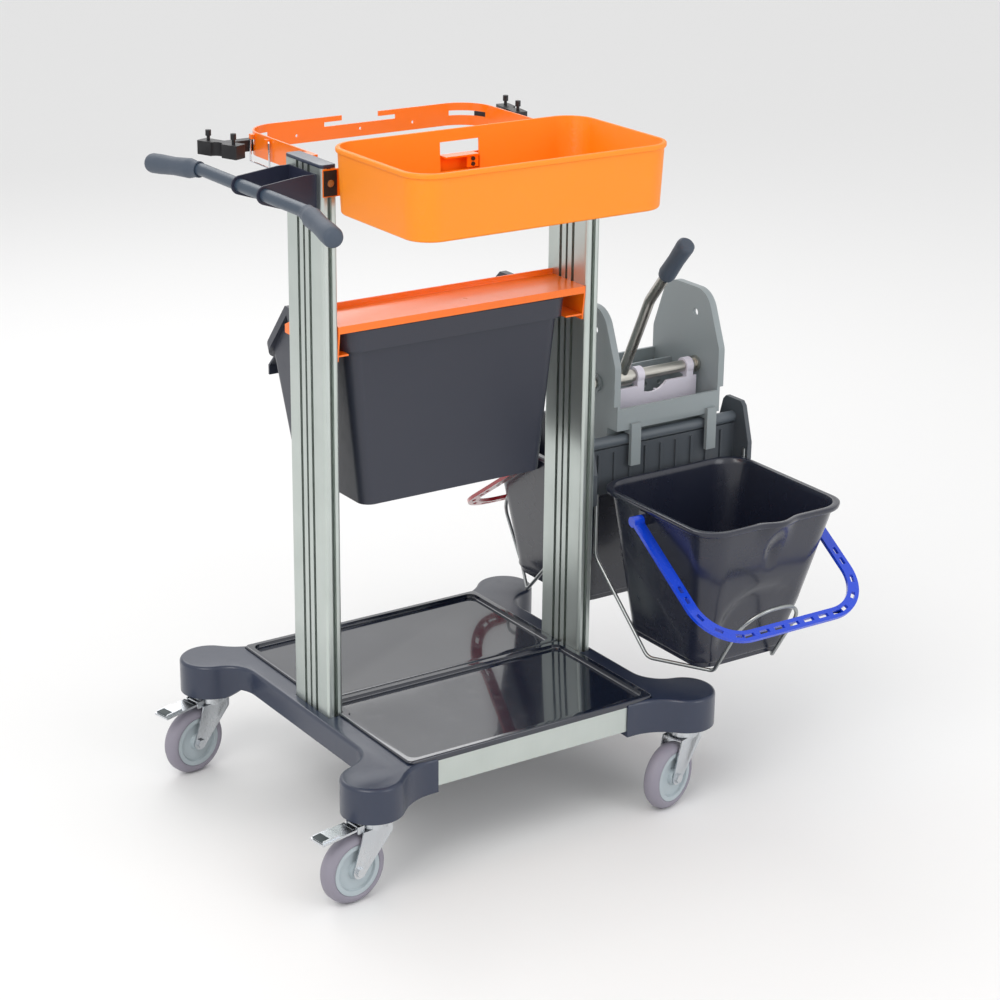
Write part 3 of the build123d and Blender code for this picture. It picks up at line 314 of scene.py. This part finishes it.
zinc = metal("bright_zinc", (0.72, 0.74, 0.76), (0.52, 0.55, 0.58), 0.24, 500.0, 90.0, 0.15)
tyre_rubber = plastic("grey_tyre", (0.255, 0.240, 0.290), (0.30, 0.28, 0.33), 0.50, 1200.0, 0.35, 0.1)
hub_plastic = plastic("hub_plastic", (0.40, 0.46, 0.49), (0.46, 0.50, 0.52), 0.36, 900.0, 0.2, 0.1)
for corner in ("front_left", "rear_left", "front_right", "rear_right"):
    rounded(f"caster_fork_{corner}", 0.0007, zinc)
    paint(f"caster_axle_{corner}", zinc)
    rounded(f"caster_hub_{corner}", 0.0009, hub_plastic)
    rounded(f"caster_tyre_{corner}", 0.0016, tyre_rubber, 3)
for corner in ("front_left", "rear_left"):
    rounded(f"brake_pedal_{corner}", 0.0008, zinc)
paint("caster_heads", zinc)

# ---------- brake pads ----------
# A dark rubber pad is snapped onto each brake pedal's tread, as two blocks with a gap between.
pad_rubber = plastic("pad_rubber", (0.030, 0.045, 0.050), (0.07, 0.08, 0.085), 0.45, 1200.0, 0.3, 0.1)
pad_long = 0.017            # one block, along the pedal
pad_wide = 0.026
pad_thick = 0.0022
pad_steps = (0.050, 0.070)  # from the pedal's pin to the middle of each block
pad_rise = 0.0035           # of the seat over the pin
pad_fall = 0.04             # of the seat for each metre along the pedal
pad_slope = math.radians(4.0)
pad_round = 0.0006
joint_of = {joint["name"]: joint for joint in frame["joints"]}
for corner in ("front_left", "rear_left"):
    pin = joint_of[f"brake_{corner}"]
    across = Vector(pin["axis"]).normalized()
    outward = across.cross(Vector((0, 0, 1)))
    pedal_low, pedal_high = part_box(f"brake_pedal_{corner}")
    pedal_middle = (pedal_low + pedal_high) / 2
    if outward.dot(pedal_middle - Vector(pin["pos_m"])) < 0:
        outward = -outward
    blocks = bmesh.new()
    along = (outward * math.cos(pad_slope) - Vector((0, 0, 1)) * math.sin(pad_slope)).normalized()
    over_pad = along.cross(across)
    width_axis = across
    if over_pad.z < 0:
        over_pad, width_axis = -over_pad, -across
    stand = Matrix((along, width_axis, over_pad)).transposed().to_4x4()
    for step in pad_steps:
        seat = Vector(pin["pos_m"]) + outward * step + Vector((0, 0, pad_rise - pad_fall * step))
        shape_of_block = Matrix.Diagonal((pad_long, pad_wide, pad_thick, 1.0))
        bmesh.ops.create_cube(blocks, size=1.0, matrix=Matrix.Translation(seat) @ stand @ shape_of_block)
    bmesh.ops.bevel(blocks, geom=list(blocks.edges), offset=pad_round, segments=2, affect="EDGES",
                    profile=0.5, material=-1)
    bmesh.ops.recalc_face_normals(blocks, faces=blocks.faces)
    placed(f"brake_pad_{corner}", blocks, pad_rubber, f"brake_pedal_{corner}")

# ---------- chassis ----------
# Two moulded slate-blue feet carry the casters in their lobes and join two aluminium rails;
# a pair of dark glossy trays drops between them.
slate = plastic("slate_plastic", (0.018, 0.027, 0.056), (0.034, 0.045, 0.078), 0.34, 800.0, 0.18,
                0.03, 0.35, 0.16)
deck_gloss = plastic("deck_gloss", (0.009, 0.013, 0.026), (0.016, 0.021, 0.036), 0.12, 300.0, 0.02,
                     0.02, 0.9, 0.03)
aluminium = metal("satin_aluminium", (0.62, 0.67, 0.64), (0.52, 0.57, 0.54), 0.36, 700.0, 3.0, 0.2)
for side in ("left", "right"):
    rounded(f"foot_{side}", 0.0015, slate)
for side in ("front", "rear"):
    paint(f"rail_{side}", aluminium)
    rounded(f"deck_tray_{side}", 0.0012, deck_gloss)

# ---------- posts ----------
# Extruded aluminium posts, grooved down their faces, with slate end caps pressed into the top.
for side in ("left", "right"):
    paint(f"post_{side}", aluminium)
rounded("post_caps", 0.0010, slate)
paint("post_bolts", zinc)

# ---------- handle ----------
# A bent steel tube, powder coated slate, in a folded bracket with two dark moulded grips.
handle_paint = plastic("handle_paint", (0.032, 0.052, 0.082), (0.06, 0.08, 0.11), 0.35, 1500.0, 0.15, 0.1)
bracket_paint = plastic("bracket_paint", (0.016, 0.019, 0.040), (0.035, 0.04, 0.065), 0.4, 1500.0, 0.2, 0.1)
grip_plastic = plastic("grip_plastic", (0.055, 0.074, 0.105), (0.08, 0.098, 0.13), 0.5, 1600.0, 0.5, 0.1)
rounded("handle_bracket", 0.0008, bracket_paint)
paint("handle_bar", handle_paint)
for side in ("front", "rear"):
    rounded(f"handle_grip_{side}", 0.0010, grip_plastic)

# ---------- top tray ----------
# An orange moulded tray with a linen texture and a thick rolled rim, hung on a steel strip.
def linen_effect():
    """The mould's linen texture: threads crossing at right angles, as a height."""
    group = bpy.data.node_groups.new("linen_weave", "ShaderNodeTree")
    thread = group.interface.new_socket("Thread", in_out="INPUT", socket_type="NodeSocketFloat")
    thread.default_value = 0.002
    group.interface.new_socket("Height", in_out="OUTPUT", socket_type="NodeSocketFloat")
    start = group.nodes.new("NodeGroupInput")
    end = group.nodes.new("NodeGroupOutput")
    split = group.nodes.new("ShaderNodeSeparateXYZ")
    group.links.new(group.nodes.new("ShaderNodeTexCoord").outputs["Object"], split.inputs[0])
    turn = sums(group, "DIVIDE", 2 * math.pi, start.outputs["Thread"])
    round_tray = sums(group, "ADD", split.outputs["X"], split.outputs["Y"])
    warp = sums(group, "SINE", sums(group, "MULTIPLY", round_tray, turn), 0.0)
    weft = sums(group, "SINE", sums(group, "MULTIPLY", split.outputs["Z"], turn), 0.0)
    group.links.new(sums(group, "MULTIPLY", warp, weft), end.inputs["Height"])
    return group


tray_orange = plastic("tray_orange", (1.0, 0.270, 0.001), (1.0, 0.30, 0.006), 0.42, 1900.0, 0.20, 0.03)
orange_paint = plastic("orange_paint", (0.98, 0.185, 0.001), (0.98, 0.22, 0.004), 0.30, 1400.0, 0.08,
                       0.06, 0.3, 0.15)
black_plastic = plastic("black_plastic", (0.012, 0.012, 0.014), (0.05, 0.05, 0.055), 0.45, 1000.0, 0.25, 0.12)
tree = tray_orange.node_tree
weave = tree.nodes.new("ShaderNodeGroup")
weave.node_tree = linen_effect()
weave.inputs["Thread"].default_value = 0.0022
raised = tree.nodes.new("ShaderNodeBump")
raised.inputs["Distance"].default_value = 0.0004
raised.inputs["Strength"].default_value = 0.45
tree.links.new(weave.outputs["Height"], raised.inputs["Height"])
tree.links.new(next(n for n in tree.nodes if n.type == "GROUP" and n.node_tree == skin).outputs["Normal"],
               raised.inputs["Normal"])
tree.links.new(raised.outputs["Normal"], tree.nodes["Principled BSDF"].inputs["Normal"])
rounded("top_tray", 0.0010, tray_orange)
rounded("tray_rail", 0.0006, orange_paint)
paint("tray_spacers", black_plastic)
paint("black_screws", black_plastic)
paint("steel_screws", zinc)

# ---------- bag holder ----------
# A bent orange band holds the bag's edge under two bright wire clips; black tool holders flank it.
bright_wire = metal("bright_wire", (0.82, 0.82, 0.84), (0.68, 0.69, 0.72), 0.14, 300.0, 200.0, 0.05)
rounded("bag_frame", 0.0006, orange_paint)
for side in ("left", "right"):
    paint(f"bag_clip_{side}", bright_wire)
    rounded(f"tool_holder_{side}", 0.0010, black_plastic)
paint("holder_pegs", black_plastic)

# ---------- storage bin ----------
# A slate moulded bin with a sloping mouth slides on the ledges of a folded orange bracket.
bin_plastic = plastic("bin_plastic", (0.024, 0.028, 0.044), (0.040, 0.045, 0.062), 0.42, 800.0, 0.24,
                      0.03, 0.12, 0.2)
rounded("storage_bin", 0.0030, bin_plastic, 3)
rounded("bin_bracket", 0.0007, orange_paint)

# ---------- buckets ----------
# Two dark moulded buckets with rolled rims, each with a wide flat bail on ear pins.
bucket_plastic = plastic("bucket_plastic", (0.012, 0.015, 0.030), (0.024, 0.028, 0.045), 0.27, 700.0,
                         0.08, 0.04, 0.4, 0.12)
blue_plastic = plastic("blue_plastic", (0.003, 0.052, 0.620), (0.012, 0.085, 0.62), 0.24, 700.0,
                       0.08, 0.05, 0.4, 0.1)
red_plastic = plastic("red_plastic", (0.400, 0.004, 0.014), (0.45, 0.03, 0.05), 0.24, 700.0, 0.08,
                      0.05, 0.4, 0.1)
bucket_low, bucket_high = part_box("bucket_front")
ear_stand = 0.014           # how far the ear pins stand out of the rim
rim_out = 0.008             # how far the rolled rim stands out of the wall
rim_deep = 0.010
bucket_wall = 0.003
bucket_x = (bucket_low.x + bucket_high.x) / 2
bucket_y = (bucket_low.y + bucket_high.y) / 2
mouth = (bucket_x, bucket_y, (bucket_high.x - bucket_low.x) / 2 - ear_stand - rim_out,
         (bucket_high.y - bucket_low.y) / 2 - rim_out)
foot = (bucket_x - 0.016, bucket_y + 0.010, 0.102, 0.1125)
ear_z = bucket_high.z - 0.025
ear_y = bucket_y + 0.0195


def wall_at(share, inward):
    """The wall's middle and half sizes at a share of its height, moved in by a distance."""
    across = [a + (b - a) * share for a, b in zip(foot, mouth)]
    return (across[0], across[1], across[2] - inward, across[3] - inward)


def raise_ring(shape, face, was, ring, z):
    """Draws the face up to a new height as a ring of another size, and gives the face there."""
    inner_face = any(len(edge.link_faces) > 1 for edge in face.edges)
    made = bmesh.ops.extrude_face_region(shape, geom=[face])["geom"]
    top = next(g for g in made if isinstance(g, bmesh.types.BMFace))
    if inner_face:
        bmesh.ops.delete(shape, geom=[face], context="FACES_ONLY")
    points = list(top.verts)
    here = Matrix.Translation((-was[0], -was[1], 0))
    bmesh.ops.scale(shape, verts=points, space=here, vec=(ring[2] / was[2], ring[3] / was[3], 1))
    drop = points[0].co.z
    bmesh.ops.translate(shape, verts=points, vec=(ring[0] - was[0], ring[1] - was[1], z - drop))
    return top


def fade(value, reach):
    """One at nought, falling smoothly to nought at the reach."""
    return math.cos(min(abs(value) / reach, 1.0) * math.pi / 2) ** 2


def pressed_front(point):
    """How far the front wall stands out at a point: a spout, the groove under it and a scoop."""
    aside = point.x - bucket_x
    down = bucket_high.z - point.z
    spout = 0.013 * fade(aside, 0.048) * fade(down, 0.075)
    groove = -0.006 * fade(aside, 0.018) * fade(down - 0.060, 0.045)
    arch = math.hypot(aside / 0.100, max(0.0, 0.215 - down) / 0.085)
    scoop = -0.007 * min(1.0, max(0.0, (1.0 - arch) / 0.22)) * min(1.0, max(0.0, 0.262 - down) / 0.02)
    return spout + groove + scoop


def bucket_shell(side):
    shape = bmesh.new()
    bmesh.ops.create_grid(shape, x_segments=1, y_segments=1, size=1.0)
    bmesh.ops.scale(shape, verts=shape.verts, vec=(foot[2], foot[3], 1))
    bmesh.ops.translate(shape, verts=shape.verts, vec=(foot[0], foot[1], bucket_low.z))
    bmesh.ops.bevel(shape, geom=shape.verts[:], offset=0.034, segments=8, affect="VERTICES",
                    profile=0.5, material=-1)
    straight = [edge for edge in shape.edges if edge.calc_length() > 0.05]
    bmesh.ops.subdivide_edges(shape, edges=straight, cuts=34)
    face = shape.faces[:][0]
    was = foot
    height = bucket_high.z - bucket_low.z
    under_rim = height - rim_deep
    outer = [(wall_at(0, 0.0), 0.008), (wall_at(0, -0.003), 0.0095), (wall_at(0.03, -0.003), 0.013)]
    rows = 26
    first = 0.013
    for row in range(1, rows + 1):
        up = first + (under_rim - first) * row / rows
        outer.append((wall_at(up / height, 0.0), up))
    rim = [(-rim_out + 0.001, under_rim), (-rim_out, under_rim + 0.0015), (-rim_out, height - 0.003),
           (-rim_out + 0.001, height - 0.0008), (-rim_out + 0.003, height), (bucket_wall - 0.001, height),
           (bucket_wall, height - 0.001)]
    outer += [(wall_at(up / height, inward), up) for inward, up in rim]
    base = 0.012
    for row in range(1, rows + 1):
        up = height - 0.001 + (base - height + 0.001) * row / rows
        outer.append((wall_at(up / height, bucket_wall), up))
    outer.append((wall_at(0.0, 0.010), 0.006))
    for ring, up in outer:
        face = raise_ring(shape, face, was, ring, bucket_low.z + up)
        was = ring
    for vert in shape.verts:
        if vert.co.y < bucket_y - 0.06:
            nearness = min(1.0, (bucket_y - 0.06 - vert.co.y) / 0.04)
            vert.co.y -= pressed_front(vert.co) * nearness
    for way in (-1, 1):
        inner_x = mouth[0] + way * (mouth[2] - 0.004)
        reach = ear_stand + rim_out + 0.004
        turned = Matrix.Translation((inner_x + way * reach / 2, ear_y, ear_z)) @ Matrix.Rotation(
            math.pi / 2, 4, "Y")
        bmesh.ops.create_cone(shape, cap_ends=True, segments=32, radius1=0.005, radius2=0.005,
                              depth=reach, matrix=turned)
        web = Matrix.Translation((inner_x + way * 0.006, ear_y, ear_z + 0.004)) @ Matrix.Diagonal(
            (0.0125, 0.018, 0.024, 1))
        bmesh.ops.create_cube(shape, size=1.0, matrix=web)
    if side == "rear":
        bmesh.ops.scale(shape, verts=shape.verts, vec=(1, -1, 1))
    bmesh.ops.recalc_face_normals(shape, faces=shape.faces)
    return shape


for side in ("front", "rear"):
    shell = placed(f"bucket_{side}_shell", bucket_shell(side), bucket_plastic, f"bucket_{side}", 50.0)
    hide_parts(f"bucket_{side}")
rounded("bucket_bail_front", 0.0010, blue_plastic)
rounded("bucket_bail_rear", 0.0010, red_plastic)

# ---------- bucket carrier ----------
# A plated carrier on the right post holds a ribbed dark panel, a grey tube and two wire cradles.
carrier_paint = plastic("carrier_paint", (0.26, 0.31, 0.31), (0.34, 0.38, 0.38), 0.4, 1300.0, 0.15, 0.1)
holder_plastic = plastic("holder_plastic", (0.070, 0.082, 0.096), (0.10, 0.11, 0.125), 0.45, 900.0,
                         0.25, 0.12)
grey_paint = plastic("grey_paint", (0.110, 0.130, 0.150), (0.18, 0.20, 0.22), 0.35, 1300.0, 0.15, 0.1)
cradle_metal = metal("cradle_wire", (0.42, 0.44, 0.44), (0.30, 0.32, 0.32), 0.30, 300.0, 200.0, 0.08)
rounded("bucket_carrier", 0.0008, carrier_paint)
rounded("press_holder", 0.0009, holder_plastic)
paint("holder_tube", grey_paint)
for side in ("front", "rear"):
    paint(f"wire_cradle_{side}", cradle_metal)

# ---------- press ----------
# A grey moulded press with upright cheeks; a bright steel lever turns a pale plate on the shaft.
press_plastic = plastic("press_plastic", (0.285, 0.325, 0.338), (0.34, 0.375, 0.385), 0.40, 800.0, 0.25, 0.12)
plate_plastic = plastic("plate_plastic", (0.72, 0.69, 0.78), (0.66, 0.64, 0.70), 0.38, 800.0, 0.15, 0.05)
lever_steel = metal("lever_steel", (0.62, 0.60, 0.54), (0.46, 0.45, 0.42), 0.26, 400.0, 60.0, 0.15)
rounded("press_body", 0.0010, press_plastic)
paint("press_shaft", lever_steel)
paint("press_lever", lever_steel)
rounded("press_grip", 0.0010, grip_plastic)
rounded("press_plate", 0.0008, plate_plastic)
